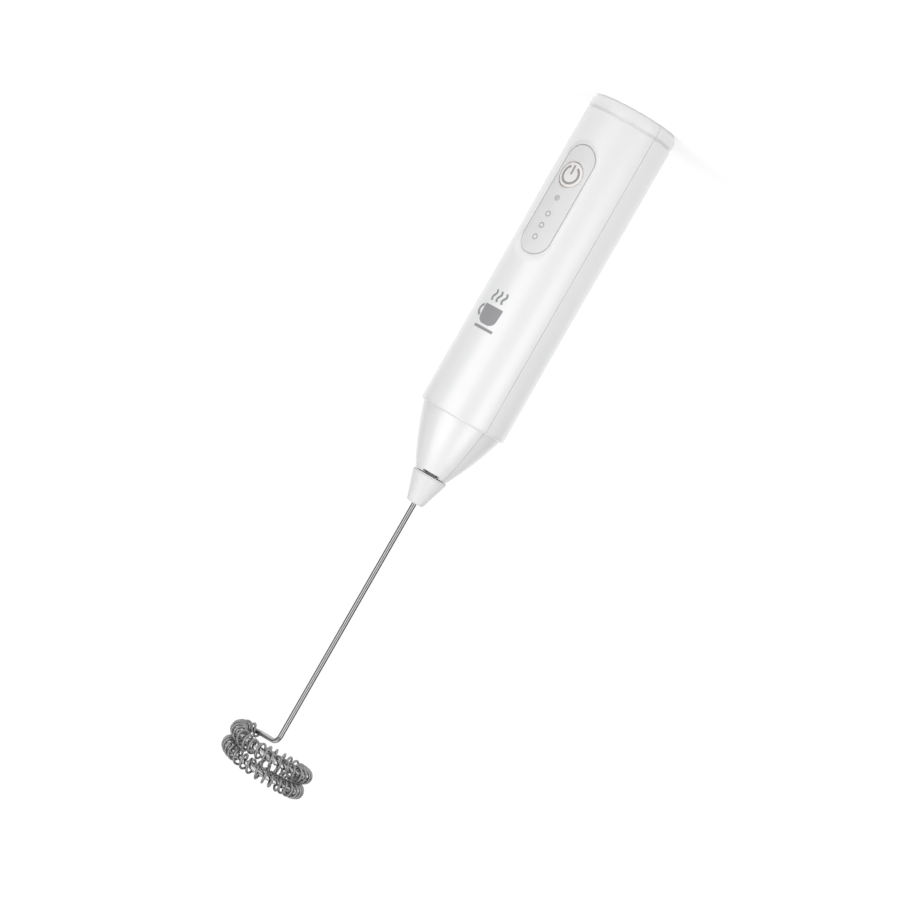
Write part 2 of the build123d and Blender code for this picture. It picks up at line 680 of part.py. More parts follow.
def make_drive_coupling():
    with BuildPart() as drive_coupling:
        slab(COUPLING_LOW_Z, COUPLING_TOP_Z, Mode.ADD, COUPLING_R)
        slab(COUPLING_LOW_Z, COUPLING_LOW_Z + 4, Mode.ADD, COUPLING_R + 1.2)
        slab(COUPLING_LOW_Z, COUPLING_LOW_Z + COUPLING_GRIP, Mode.SUBTRACT, SHAFT_R)
        hex_prism(HEX_FLATS, SPIGOT_LOW_Z - 0.6, COUPLING_TOP_Z, Mode.SUBTRACT)
    save(drive_coupling, "drive_coupling")


def make_nose_seal():
    with BuildPart() as nose_seal:
        ring(COUPLING_R + RUNNING_CLEAR, SEAL_SEAT_R, SEAL_SEAT_Z, SEAL_TOP_Z)
        ring(COUPLING_R + 0.5, SEAL_SEAT_R + 1.4, SEAL_SEAT_Z - 3.2, SEAL_SEAT_Z - 2)
        ring(COUPLING_R + 0.5, SEAL_SEAT_R, SEAL_SEAT_Z - 2, SEAL_SEAT_Z)
    save(nose_seal, "nose_seal")


# ---- Whisk head --------------------------------------------------------------------------------------
def make_collar_washer():
    with BuildPart() as collar_washer:
        ring(WASHER_INNER_R, WASHER_R, WASHER_LOW_Z, COLLAR_BASE_Z)
    save(collar_washer, "collar_washer")


def make_whisk_collar():
    spigot_flats = HEX_FLATS - 0.1
    with BuildPart() as whisk_collar:
        with BuildSketch(Plane.XZ):
            with BuildLine():
                Polyline((0, COLLAR_BASE_Z), (COLLAR_BASE_R, COLLAR_BASE_Z),
                         (COLLAR_TOP_R, COLLAR_TOP_Z), (0, COLLAR_TOP_Z), close=True)
            make_face()
        revolve(axis=Axis.Z)
        fillet(whisk_collar.edges().sort_by(Axis.Z)[-1], COLLAR_ROUND)
        fillet(whisk_collar.edges().sort_by(Axis.Z)[0], 0.25)
        hex_prism(spigot_flats, SPIGOT_LOW_Z, COLLAR_BASE_Z, Mode.ADD)
        slab(SPIGOT_LOW_Z, COLLAR_TOP_Z, Mode.SUBTRACT, WIRE_R)
    save(whisk_collar, "whisk_collar")


def ring_point(turn_deg, radius):
    """A point of the core ring's helix, turn_deg after its tangent point, at the given radius."""
    azimuth = radians(RING_DEG - turn_deg)
    return Vector(radius * cos(azimuth), radius * sin(azimuth), RING_Z + RING_PITCH * turn_deg / 360)


def core_route():
    """The whisk's core wire: the straight shaft, the hook and the ring."""
    half_side = 180 / SIDES
    corner_r = RING_R / cos(radians(half_side))
    lead_r = RING_R / cos(radians(HOOK_LEAD_DEG))
    points = [Vector(0, 0, SPIGOT_LOW_Z), Vector(0, 0, HOOK_Z), ring_point(-HOOK_LEAD_DEG, lead_r)]
    points += [ring_point(half_side * (2 * i + 1), corner_r) for i in range(CORNERS)]
    points.append(ring_point(half_side * 2 * CORNERS, RING_R))
    radii = [HOOK_BEND_R, LEAD_BEND_R] + [0.97 * RING_R] * CORNERS
    with BuildLine() as route:
        FilletPolyline(*points, radius=radii)
    return route.wires()[0]


def make_whisk_shaft(core):
    with BuildPart() as whisk_shaft:
        with BuildSketch(Plane(origin=core @ 0, z_dir=core % 0)):
            Circle(WIRE_R)
        sweep(path=core)
    save(whisk_shaft, "whisk_shaft")


def coil_radius(loop):
    """Distance of the coil's wire from the core wire: it closes down at both ends."""
    ramp = min(1.0, loop / 1.25, (COIL_LOOPS - loop) / 1.25)
    return COIL_END_R + (COIL_R - COIL_END_R) * ramp


def coil_point(core, loop):
    """A point of the coil spring, loop turns from its start."""
    coil_length = core.length - COIL_START - COIL_END_GAP
    along = (COIL_START + coil_length * loop / COIL_LOOPS) / core.length
    heading = core % along
    outward = Vector(0, 0, 1).cross(heading).normalized()
    upward = heading.cross(outward)
    swing = 2 * pi * loop
    return core @ along + (outward * cos(swing) + upward * sin(swing)) * coil_radius(loop)


def coil_heading(core, loop):
    """The coil's direction at loop, from two points close by."""
    step = 0.001
    start = max(0.0, loop - step)
    end = min(float(COIL_LOOPS), loop + step)
    return (coil_point(core, end) - coil_point(core, start)).normalized()


def make_whisk_coil(core):
    spans_per_loop = 4
    points_per_span = 2
    with BuildPart() as whisk_coil:
        edges = []
        for span in range(COIL_LOOPS * spans_per_loop):
            loops = [(span + i / points_per_span) / spans_per_loop for i in range(points_per_span + 1)]
            edges.append(Edge.make_spline([coil_point(core, loop) for loop in loops],
                                          tangents=[coil_heading(core, loops[0]),
                                                    coil_heading(core, loops[-1])]))
        wire = Wire(edges)
        with BuildSketch(Plane(origin=wire @ 0, z_dir=wire % 0)):
            Circle(COIL_WIRE_R)
        sweep(path=wire)
    save(whisk_coil, "whisk_coil")


# ---- Leads held inside ---------------------------------------------------------------------------------
def lead_radii(points):
    """The largest arc that each corner of a lead's route has room for."""
    radii = []
    for before, corner, after in zip(points, points[1:], points[2:]):
        arriving = corner - before
        leaving = after - corner
        turn = arriving.get_angle(leaving)
        radii.append(0.45 * min(arriving.length, leaving.length) / tan(radians(turn / 2)))
    return radii


def make_lead(name, route):
    points = [Vector(*point) for point in route]
    radii = lead_radii(points)
    with BuildPart() as lead:
        with BuildLine() as path:
            FilletPolyline(*points, radius=radii)
        wire = path.wires()[0]
        with BuildSketch(Plane(origin=wire @ 0, z_dir=wire % 0)):
            Circle(LEAD_R)
        sweep(path=wire)
    print(name, "radii", [round(radius, 2) for radius in radii])
    save(lead, name)


def make_leads():
    tab_y = TAB_END_Y + 0.5
    cell_top_z = CELL_LOW_Z + CELL_LENGTH + TAB_THICKNESS
    board_y = -BOARD_REAR_Y
    make_lead("battery_lead_red", [(0, tab_y, cell_top_z), (0, tab_y, cell_top_z + 2.9),
                                   (0, tab_y - 1.9, cell_top_z + 5.2), (0, board_y, cell_top_z + 5.4)])
    cell_low_z = CELL_LOW_Z - TAB_THICKNESS
    make_lead("battery_lead_black", [(0, tab_y, cell_low_z), (0, tab_y, cell_low_z - 2.6),
                                     (0, tab_y - 1.9, cell_low_z - 4.7), (0, board_y, cell_low_z - 4.9)])
    for side, name in ((-1, "motor_lead_black"), (1, "motor_lead_red")):
        make_lead(name, [(5.5 * side, board_y, 69.6), (5.6 * side, -4.6, 69.8),
                         (6.2 * side, -2.2, 71.6), (7.3 * side, -0.4, 74.4),
                         (TERMINAL_X * side, 0, TERMINAL_LOW_Z)])


os.makedirs("parts", exist_ok=True)
make_front_cover()
make_rear_housing()
make_control_panel()
make_button_bezel()
make_power_button()
make_switch_plunger()
make_lights()
make_main_board()
make_board_screws()
make_tact_switch()
make_board_leds()
make_chip("controller_chip", 63.5, 3.9, 4.9, 1.5)
make_chip("charge_chip", 9.0, 3.0, 3.6, 1.2)
make_usb_socket()
make_battery()
make_inner_frame()
make_frame_screws()
make_motor_can()
make_motor_end_cap()
make_motor_magnets()
make_motor_bushes()
make_motor_shaft()
make_armature()
make_commutator()
make_brushes_and_terminals()
make_motor_cushions()
make_drive_coupling()
make_nose_seal()
make_collar_washer()
make_whisk_collar()
whisk_core = core_route()
make_whisk_shaft(whisk_core)
make_whisk_coil(whisk_core)
make_leads()
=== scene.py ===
import json
import math

import bpy
import bmesh
from mathutils import Matrix, Vector


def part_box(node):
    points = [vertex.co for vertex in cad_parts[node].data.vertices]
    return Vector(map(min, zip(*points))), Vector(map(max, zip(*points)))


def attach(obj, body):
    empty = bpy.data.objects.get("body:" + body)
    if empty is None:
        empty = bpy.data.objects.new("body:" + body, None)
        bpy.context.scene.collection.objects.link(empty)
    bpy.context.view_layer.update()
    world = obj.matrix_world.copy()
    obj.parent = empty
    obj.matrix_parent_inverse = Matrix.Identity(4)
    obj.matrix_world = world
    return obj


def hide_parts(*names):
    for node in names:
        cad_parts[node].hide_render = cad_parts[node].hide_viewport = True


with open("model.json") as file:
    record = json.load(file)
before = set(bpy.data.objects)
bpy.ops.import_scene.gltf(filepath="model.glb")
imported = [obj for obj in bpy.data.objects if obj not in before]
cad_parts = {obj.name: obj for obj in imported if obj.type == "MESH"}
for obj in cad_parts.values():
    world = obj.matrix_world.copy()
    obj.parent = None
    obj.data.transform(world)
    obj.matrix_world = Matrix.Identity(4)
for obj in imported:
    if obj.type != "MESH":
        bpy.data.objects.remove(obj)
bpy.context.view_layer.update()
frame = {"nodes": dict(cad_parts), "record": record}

MM = 0.001

# ---- Driving sizes, in millimetres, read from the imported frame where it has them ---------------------
SHELL_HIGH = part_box("rear_housing")[1] / MM
PANEL_LOW, PANEL_HIGH = (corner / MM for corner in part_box("control_panel"))
BEZEL_LOW, BEZEL_HIGH = (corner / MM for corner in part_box("button_bezel"))
STATUS_LOW, STATUS_HIGH = (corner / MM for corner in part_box("status_light"))
SPEED_LOW, SPEED_HIGH = (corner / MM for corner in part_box("speed_lights"))
COLLAR_LOW, COLLAR_HIGH = (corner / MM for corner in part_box("whisk_collar"))
USB_LOW, USB_HIGH = (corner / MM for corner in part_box("usb_socket"))

HANDLE_R = SHELL_HIGH.y
NOSE_TIP_Z = SHELL_HIGH.z
HANDLE_LENGTH = 111.4
CAP_EDGE_R = 2.4
STEP_EDGE_R = 1.0
BORE_R = 13.2
END_WALL = 1.8
TURN_SEGMENTS = 288            # facets round each turned surface of the handle
GROOVE_Z = 4.7
GROOVE_HALF = 0.55
GROOVE_DEPTH = 0.45
NOSE_BASE_R = 13.85
NOSE_MID_R = 10.32
NOSE_TIP_R = 5.6
NOSE_TIP_ROUND = 0.25
NOSE_LIP_R = 3.7               # hole in the tip of the nose
NOSE_INNER_TOP_R = 8.2
NOSE_INNER_BASE_R = 12.0
NOSE_INNER_BASE_Z = 109.4
SEAL_SEAT_R = 4.3
SEAL_SEAT_Z = 122.5
SEAL_TOP_Z = 129.3
MOTOR_LEDGE_Z = 108.6
RIB_R = 12.2                   # ring rib behind the rear motor cushion
RIB_LOW_Z = 83.4
RIB_TOP_Z = 84.4
NOTCH_WIDTH = 5.6              # finger notches in the rim of the nose
NOTCH_DEPTH = 0.8
NOTCH_DEG = -126.0
SEAM_APEX_Y = 2.96
SEAM_HALF = math.radians(61.5)
SEAM_GAP = 0.1
PANEL_R = -PANEL_LOW.y
PANEL_UNDER_R = PANEL_R - 0.8
PANEL_MARGIN = 0.2             # gap round the panel in its pocket
SCOOP_DEPTH = 0.42             # shallow dish round the panel
SCOOP_WIDTH = 1.6
SCOOP_END_DEPTH = 0.33         # added at the whisk end, along the last stretch of the panel
SCOOP_END_WIDTH = 1.0
SCOOP_END_RUN = 6
PAD_DEPTH = 11.2               # distance from the axis to the thick pad behind the panel
PAD_WIDTH = 15.0
BUTTON_Z = (BEZEL_LOW.z + BEZEL_HIGH.z) / 2
BUTTON_R = 4.25
BUTTON_TOP_R = PANEL_R + 0.05
BUTTON_HOLLOW = 0.14
BUTTON_HOLLOW_R = 3.85
BUTTON_HOLE = 9.0
BUTTON_FLANGE = 10.4
BEZEL_R = 4.75
BEZEL_INNER_R = 4.4
BEZEL_HOLE = 9.5
LIGHT_R = 0.94
LIGHT_HOLE = 1.95
STATUS_Z = (STATUS_LOW.z + STATUS_HIGH.z) / 2
WIRE_R = 0.875


# ---- Mesh helpers ------------------------------------------------------------------------------------
def new_object(name, verts, faces):
    """A mesh object from vertices in millimetres."""
    mesh = bpy.data.meshes.new(name)
    mesh.from_pydata([tuple(c * MM for c in v) for v in verts], [], faces)
    mesh.validate()
    obj = bpy.data.objects.new(name, mesh)
    bpy.context.scene.collection.objects.link(obj)
    return obj


def tidy(obj, sharp_deg=35.0):
    """Merge doubles, point the normals out and shade smooth with sharp edges kept."""
    work = bmesh.new()
    work.from_mesh(obj.data)
    bmesh.ops.remove_doubles(work, verts=work.verts, dist=1e-7)
    bmesh.ops.dissolve_degenerate(work, edges=work.edges, dist=1e-8)
    bmesh.ops.recalc_face_normals(work, faces=work.faces)
    work.to_mesh(obj.data)
    work.free()
    for polygon in obj.data.polygons:
        polygon.use_smooth = True
    obj.data.set_sharp_from_angle(angle=math.radians(sharp_deg))
    return obj


def apply_modifiers(obj):
    """Replaces the mesh by what its modifiers make of it."""
    graph = bpy.context.evaluated_depsgraph_get()
    mesh = bpy.data.meshes.new_from_object(obj.evaluated_get(graph))
    obj.modifiers.clear()
    obj.data = mesh


def cut(obj, cutter, operation="DIFFERENCE"):
    """A boolean with a closed cutter, which is then removed."""
    modifier = obj.modifiers.new("cut", "BOOLEAN")
    modifier.operation = operation
    modifier.solver = "EXACT"
    modifier.object = cutter
    apply_modifiers(obj)
    bpy.data.objects.remove(cutter)
    return obj


def lathe(name, loop, segments=180):
    """A closed ring of revolution about Z from a closed loop of (radius, height) points."""
    verts, faces = [], []
    count = len(loop)
    for i in range(segments):
        turn = 2 * math.pi * i / segments
        verts += [(r * math.cos(turn), r * math.sin(turn), z) for r, z in loop]
    for i in range(segments):
        a, b = i * count, (i + 1) % segments * count
        for j in range(count):
            k = (j + 1) % count
            faces.append((a + j, b + j, b + k, a + k))
    return new_object(name, verts, faces)


def arc(centre, radius, start_deg, end_deg, steps):
    """Points of an arc, both ends included."""
    points = []
    for i in range(steps + 1):
        turn = math.radians(start_deg + (end_deg - start_deg) * i / steps)
        points.append((centre[0] + radius * math.cos(turn), centre[1] + radius * math.sin(turn)))
    return points


def span(start, end, steps):
    """Points from start towards end, the end left out."""
    return [tuple(a + (b - a) * i / steps for a, b in zip(start, end)) for i in range(steps)]


def arc_through(start, middle, end, steps):
    """Points of the circular arc through three points, both ends included."""
    (ax, ay), (bx, by), (cx, cy) = start, middle, end
    d = 2 * (ax * (by - cy) + bx * (cy - ay) + cx * (ay - by))
    ux = ((ax**2 + ay**2) * (by - cy) + (bx**2 + by**2) * (cy - ay) + (cx**2 + cy**2) * (ay - by)) / d
    uy = ((ax**2 + ay**2) * (cx - bx) + (bx**2 + by**2) * (ax - cx) + (cx**2 + cy**2) * (bx - ax)) / d
    first = math.degrees(math.atan2(ay - uy, ax - ux))
    last = math.degrees(math.atan2(cy - uy, cx - ux))
    return arc((ux, uy), math.hypot(ax - ux, ay - uy), first, last, steps)


def prism(name, outline, low, high, place):
    """A closed prism: place maps (u, v, height) to a point, and the outline is a closed (u, v) loop."""
    count = len(outline)
    verts = [place(u, v, low) for u, v in outline] + [place(u, v, high) for u, v in outline]
    faces = [tuple(range(count))[::-1], tuple(range(count, 2 * count))]
    faces += [(i, (i + 1) % count, count + (i + 1) % count, count + i) for i in range(count)]
    return new_object(name, verts, faces)


def stadium(width, height, centre=(0.0, 0.0), steps=24):
    """A slot outline along its longer side; with equal sides it is a circle."""
    radius = min(width, height) / 2
    reach = max(width, height) / 2 - radius
    points = []
    if height >= width:
        points += [(centre[0] + x, centre[1] + reach + y) for x, y in arc((0, 0), radius, 0, 180, steps)]
        points += [(centre[0] + x, centre[1] - reach + y) for x, y in arc((0, 0), radius, 180, 360, steps)]
    else:
        points += [(centre[0] + reach + x, centre[1] + y) for x, y in arc((0, 0), radius, -90, 90, steps)]
        points += [(centre[0] - reach + x, centre[1] + y) for x, y in arc((0, 0), radius, 90, 270, steps)]
    return points


def along_y(u, v, height):
    """Places a flat outline on the XZ plane, height measured out of the button side."""
    return (u, -height, v)


def along_z(u, v, height):
    """Places a flat outline on the XY plane, height measured up the axis."""
    return (u, v, height)


def tube(name, points, radius, sides):
    """A round closed tube along points, with frames carried along so that it doesn't twist."""
    path = [Vector(p) for p in points]
    count = len(path)
    heading = [(path[min(i + 1, count - 1)] - path[max(i - 1, 0)]).normalized() for i in range(count)]
    side = heading[0].orthogonal().normalized()
    verts, faces = [], []
    for point, ahead in zip(path, heading):
        side = (side - ahead * side.dot(ahead)).normalized()
        up = ahead.cross(side)
        for k in range(sides):
            turn = 2 * math.pi * k / sides
            verts.append(point + (side * math.cos(turn) + up * math.sin(turn)) * radius)
    for i in range(count - 1):
        for k in range(sides):
            a, b = i * sides + k, i * sides + (k + 1) % sides
            faces.append((a, b, b + sides, a + sides))
    faces.append(tuple(range(sides))[::-1])
    faces.append(tuple(range((count - 1) * sides, count * sides)))
    return new_object(name, [tuple(v) for v in verts], faces)


def rounded_route(points, radii, step):
    """Points along straight runs joined by tangent arcs, one radius for each inner corner."""
    corners = [Vector(p) for p in points]
    route = [corners[0]]
    for before, corner, after, radius in zip(corners, corners[1:], corners[2:], radii):
        arriving = (corner - before).normalized()
        leaving = (after - corner).normalized()
        turn = arriving.angle(leaving)
        reach = radius * math.tan(turn / 2)
        centre = corner - arriving * reach + (leaving - arriving * math.cos(turn)).normalized() * radius
        start = corner - arriving * reach - centre
        axis = arriving.cross(leaving).normalized()
        steps = max(4, int(turn * radius / step))
        route += [centre + Matrix.Rotation(turn * i / steps, 3, axis) @ start for i in range(steps + 1)]
    route.append(corners[-1])
    return route


# ---- Materials ---------------------------------------------------------------------------------------
def node_material(name, colour, roughness, metallic=0.0, coat=0.0, specular=0.5):
    """A node material with its constants set on the shader's own sockets."""
    material = bpy.data.materials.new(name)
    material.use_nodes = True
    shader = material.node_tree.nodes["Principled BSDF"]
    shader.inputs["Base Color"].default_value = (*colour, 1.0)
    shader.inputs["Roughness"].default_value = roughness
    shader.inputs["Metallic"].default_value = metallic
    shader.inputs["Specular IOR Level"].default_value = specular
    shader.inputs["Coat Weight"].default_value = coat
    shader.inputs["Coat IOR"].default_value = 1.8
    shader.inputs["Coat Roughness"].default_value = 0.3
    return material, shader


def surface_noise(material, scale, stretch=(1.0, 1.0, 1.0), detail=3.0):
    """A noise texture in the object's own coordinates, in turns per metre."""
    nodes, links = material.node_tree.nodes, material.node_tree.links
    coordinates = nodes.new("ShaderNodeTexCoord")
    mapping = nodes.new("ShaderNodeMapping")
    mapping.inputs["Scale"].default_value = stretch
    noise = nodes.new("ShaderNodeTexNoise")
    noise.inputs["Scale"].default_value = scale
    noise.inputs["Detail"].default_value = detail
    links.new(coordinates.outputs["Object"], mapping.inputs["Vector"])
    links.new(mapping.outputs["Vector"], noise.inputs["Vector"])
    return noise


def vary(material, shader, noise, socket, low, high):
    """Drives a socket of the shader between two values by a noise."""
    nodes, links = material.node_tree.nodes, material.node_tree.links
    spread = nodes.new("ShaderNodeMapRange")
    spread.inputs["From Min"].default_value = 0.3
    spread.inputs["From Max"].default_value = 0.7
    spread.inputs["To Min"].default_value = low
    spread.inputs["To Max"].default_value = high
    links.new(noise.outputs["Fac"], spread.inputs["Value"])
    links.new(spread.outputs["Result"], shader.inputs[socket])


def tint(material, shader, noise, dark, light):
    """Mixes the base colour between two close tones by a noise."""
    nodes, links = material.node_tree.nodes, material.node_tree.links
    ramp = nodes.new("ShaderNodeValToRGB")
    ramp.color_ramp.elements[0].position = 0.35
    ramp.color_ramp.elements[1].position = 0.65
    ramp.color_ramp.elements[0].color = (*dark, 1.0)
    ramp.color_ramp.elements[1].color = (*light, 1.0)
    links.new(noise.outputs["Fac"], ramp.inputs["Fac"])
    links.new(ramp.outputs["Color"], shader.inputs["Base Color"])


def bump(material, shader, noise, strength, distance):
    """A fine relief from a noise, its depth in metres."""
    nodes, links = material.node_tree.nodes, material.node_tree.links
    relief = nodes.new("ShaderNodeBump")
    relief.inputs["Strength"].default_value = strength
    relief.inputs["Distance"].default_value = distance
    links.new(noise.outputs["Fac"], relief.inputs["Height"])
    links.new(relief.outputs["Normal"], shader.inputs["Normal"])


def finish_material(name, colour, roughness, spread=0.06, shade=0.04, grain=2500.0, relief=0.00001,
                    stretch=(1.0, 1.0, 1.0), broad=60.0, **options):
    """A procedural finish: slow variation of tone and gloss, and a fine relief at the grain's scale."""
    material, shader = node_material(name, colour, roughness, **options)
    broad_noise = surface_noise(material, broad, stretch)
    fine_noise = surface_noise(material, grain, stretch, detail=5.0)
    vary(material, shader, broad_noise, "Roughness", max(0.02, roughness - spread), roughness + spread)
    tint(material, shader, broad_noise, [c * (1 - shade) for c in colour], colour)
    bump(material, shader, fine_noise, 0.35, relief)
    return material


# Each finish: colour and roughness, the spread of the gloss, the shade of the tone, grain and relief.
MATERIALS = {
    "white_shell": finish_material("white_shell", (0.705, 0.705, 0.71), 0.34, 0.03, 0.006, 3000, 0.000003,
                                   coat=1.0, specular=1.0),
    "white_collar": finish_material("white_collar", (0.68, 0.68, 0.68), 0.36, 0.04, 0.01, 3000, 0.000005),
    "grey_panel": finish_material("grey_panel", (0.66, 0.66, 0.66), 0.5, 0.05, 0.02, 5000, 0.000006),
    "bezel_metal": finish_material("bezel_metal", (0.72, 0.69, 0.68), 0.30, 0.05, 0.03, 6000, 0.000003,
                                   metallic=0.4),
    "button_metal": finish_material("button_metal", (0.74, 0.72, 0.71), 0.34, 0.05, 0.02, 5000, 0.000004,
                                    metallic=0.15),
    "light_grey": finish_material("light_grey", (0.49, 0.49, 0.49), 0.25, 0.04, 0.05),
    "rim_grey": finish_material("rim_grey", (0.36, 0.36, 0.36), 0.35, 0.04, 0.05),
    "light_clear": finish_material("light_clear", (0.72, 0.72, 0.72), 0.22, 0.04, 0.03),
    "symbol_grey": finish_material("symbol_grey", (0.29, 0.285, 0.28), 0.4, 0.05, 0.05, 4000, 0.000003),
    "mark_grey": finish_material("mark_grey", (0.27, 0.27, 0.28), 0.42, 0.05, 0.05, 4000, 0.000003),
    "pcb_green": finish_material("pcb_green", (0.02, 0.16, 0.07), 0.32, 0.08, 0.3, 1500, 0.00002),
    "chip_black": finish_material("chip_black", (0.02, 0.02, 0.02), 0.55, 0.08, 0.3, 6000, 0.00001),
    "led_body": finish_material("led_body", (0.80, 0.76, 0.62), 0.4, 0.08, 0.1),
    "switch_black": finish_material("switch_black", (0.03, 0.03, 0.03), 0.45, 0.08, 0.3),
    "zinc_steel": finish_material("zinc_steel", (0.55, 0.55, 0.54), 0.32, 0.10, 0.15, 3000, 0.00001,
                                  metallic=1.0),
    "nickel_strip": finish_material("nickel_strip", (0.66, 0.63, 0.58), 0.28, 0.08, 0.1, 3000, 0.00001,
                                    metallic=1.0),
    "cell_wrap": finish_material("cell_wrap", (0.03, 0.12, 0.36), 0.3, 0.1, 0.2, 800, 0.00003),
    "foam_black": finish_material("foam_black", (0.03, 0.03, 0.03), 0.9, 0.05, 0.4, 2500, 0.0001),
    "frame_nylon": finish_material("frame_nylon", (0.09, 0.09, 0.10), 0.55, 0.08, 0.2, 3000, 0.00002),
    "motor_steel": finish_material("motor_steel", (0.60, 0.60, 0.58), 0.35, 0.12, 0.15, 1200, 0.00001,
                                   stretch=(1.0, 1.0, 0.1), metallic=1.0),
    "nylon_white": finish_material("nylon_white", (0.74, 0.72, 0.66), 0.5, 0.08, 0.08),
    "ferrite": finish_material("ferrite", (0.05, 0.05, 0.05), 0.7, 0.1, 0.3, 4000, 0.00004),
    "bronze": finish_material("bronze", (0.50, 0.35, 0.16), 0.4, 0.1, 0.2, 3000, 0.00001, metallic=1.0),
    "copper_wire": finish_material("copper_wire", (0.62, 0.25, 0.10), 0.3, 0.1, 0.25, 2500, 0.00005,
                                   stretch=(1.0, 1.0, 0.05), metallic=1.0),
    "lamination": finish_material("lamination", (0.35, 0.35, 0.36), 0.45, 0.1, 0.2, 2000, 0.00004,
                                  stretch=(0.05, 0.05, 1.0), metallic=1.0),
    # washer_grey: the thin ring at the collar's base is grey as painted shade, standing in for the shadowed
    # gap between nose and collar
    "washer_grey": finish_material("washer_grey", (0.62, 0.62, 0.62), 0.6, 0.06, 0.08, 3000, 0.00001),
    "rubber_grey": finish_material("rubber_grey", (0.10, 0.10, 0.10), 0.75, 0.08, 0.2, 2500, 0.00003),
    "coupling_dark": finish_material("coupling_dark", (0.42, 0.42, 0.42), 0.45, 0.06, 0.2),
    "stainless": finish_material("stainless", (0.46, 0.46, 0.46), 0.14, 0.06, 0.12, 1500, 0.000006,
                                 stretch=(1.0, 1.0, 0.06), metallic=1.0),
    "coil_steel": finish_material("coil_steel", (0.30, 0.30, 0.30), 0.26, 0.08, 0.25, 2500, 0.000008,
                                  metallic=1.0),
    "lead_red": finish_material("lead_red", (0.50, 0.03, 0.02), 0.5, 0.08, 0.15),
    "lead_black": finish_material("lead_black", (0.02, 0.02, 0.02), 0.5, 0.08, 0.3),
}


def place(obj, body, slot, replaced=(), material=None):
    """Gives a piece its material and its body, and hides the CAD nodes that it stands for."""
    obj.data.materials.clear()
    obj.data.materials.append(MATERIALS[material or slot])
    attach(obj, body)
    if replaced:
        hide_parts(*replaced)
    return obj


def dress_cad_nodes():
    """Every CAD node takes the procedural finish of its slot."""
    slots = {row["node"]: row["material_slot"] for row in frame["record"]["subparts"]}
    for node, obj in frame["nodes"].items():
        obj.data.materials.clear()
        obj.data.materials.append(MATERIALS[slots[node]])


# ---- Housing shells ----------------------------------------------------------------------------------
def groove_dip(z):
    """How far the ring groove near the cap end cuts in at height z."""
    away = abs(z - GROOVE_Z) / GROOVE_HALF
    return GROOVE_DEPTH * math.cos(away * math.pi / 2) ** 1.5 if away < 1 else 0.0


def housing_loop():
    """The closed profile of both shells: outside from the cap end to the nose, then back inside."""
    cap_x = HANDLE_R - CAP_EDGE_R
    step_x = HANDLE_R - STEP_EDGE_R
    step_z = HANDLE_LENGTH - STEP_EDGE_R
    centre_hole = 0.02
    loop = span((centre_hole, 0.0), (cap_x, 0.0), 14)
    loop += arc((cap_x, CAP_EDGE_R), CAP_EDGE_R, -90, 0, 16)[:-1]
    loop += span((HANDLE_R, CAP_EDGE_R), (HANDLE_R, GROOVE_Z - GROOVE_HALF), 6)
    steps = 16
    for i in range(steps + 1):
        z = GROOVE_Z + GROOVE_HALF * (2 * i / steps - 1)
        loop.append((HANDLE_R - groove_dip(z), z))
    scoop_low, scoop_high = PANEL_LOW.z - 4, PANEL_HIGH.z + 5
    loop += span((HANDLE_R, GROOVE_Z + GROOVE_HALF), (HANDLE_R, scoop_low), 12)[1:]
    loop += span((HANDLE_R, scoop_low), (HANDLE_R, scoop_high), 150)
    loop += span((HANDLE_R, scoop_high), (HANDLE_R, step_z), 40)
    loop += arc((step_x, step_z), STEP_EDGE_R, 0, 90, 12)
    nose = arc_through((NOSE_BASE_R, HANDLE_LENGTH), (NOSE_MID_R, (HANDLE_LENGTH + NOSE_TIP_Z) / 2),
                       (NOSE_TIP_R, NOSE_TIP_Z), 60)
    loop += nose[:-1]
    loop += arc((NOSE_TIP_R - NOSE_TIP_ROUND, NOSE_TIP_Z - NOSE_TIP_ROUND), NOSE_TIP_ROUND, 30, 90, 5)
    nose_inside = [(NOSE_LIP_R, NOSE_TIP_Z), (NOSE_LIP_R, SEAL_TOP_Z), (SEAL_SEAT_R, SEAL_TOP_Z),
                   (SEAL_SEAT_R, SEAL_SEAT_Z), (NOSE_INNER_TOP_R, SEAL_SEAT_Z),
                   (NOSE_INNER_BASE_R, NOSE_INNER_BASE_Z), (NOSE_INNER_BASE_R, MOTOR_LEDGE_Z)]
    bore = [(BORE_R, MOTOR_LEDGE_Z), (BORE_R, RIB_TOP_Z), (RIB_R, RIB_TOP_Z), (RIB_R, RIB_LOW_Z),
            (BORE_R, RIB_LOW_Z), (BORE_R, END_WALL), (centre_hole, END_WALL)]
    return loop + nose_inside + bore


def pill_distance(x, z):
    """Signed distance from a point to the panel's outline, negative inside."""
    half_width = PANEL_HIGH.x
    low, high = PANEL_LOW.z + half_width, PANEL_HIGH.z - half_width
    along = min(max(z, low), high)
    return math.hypot(x, z - along) - half_width


def scoop(obj):
    """Sinks the shell's outside smoothly towards the panel, wider and deeper at its whisk end."""
    for vertex in obj.data.vertices:
        x, y, z = (c / MM for c in vertex.co)
        radius = math.hypot(x, y)
        if y > 0 or radius < HANDLE_R - 0.01:
            continue
        away = pill_distance(x, z)
        end = min(1.0, max(0.0, (z - PANEL_HIGH.z + SCOOP_END_RUN) / SCOOP_END_RUN))
        width = SCOOP_WIDTH + SCOOP_END_WIDTH * end
        if away < width:
            ease = min(1.0, max(0.0, 1 - away / width))
            drop = (SCOOP_DEPTH + SCOOP_END_DEPTH * end) * ease * ease * (3 - 2 * ease)
            vertex.co.x *= (radius - drop) / radius
            vertex.co.y *= (radius - drop) / radius


def wedge(shift):
    """The prism that the front cover fills, its apex moved along Y by shift."""
    reach = 60.0
    apex = SEAM_APEX_Y + shift
    side, ahead = reach * math.sin(SEAM_HALF), reach * math.cos(SEAM_HALF)
    outline = [(0, apex), (-side, apex - ahead), (side, apex - ahead)]
    return prism("wedge", outline, -5.0, NOSE_TIP_Z + 5.0, along_z)


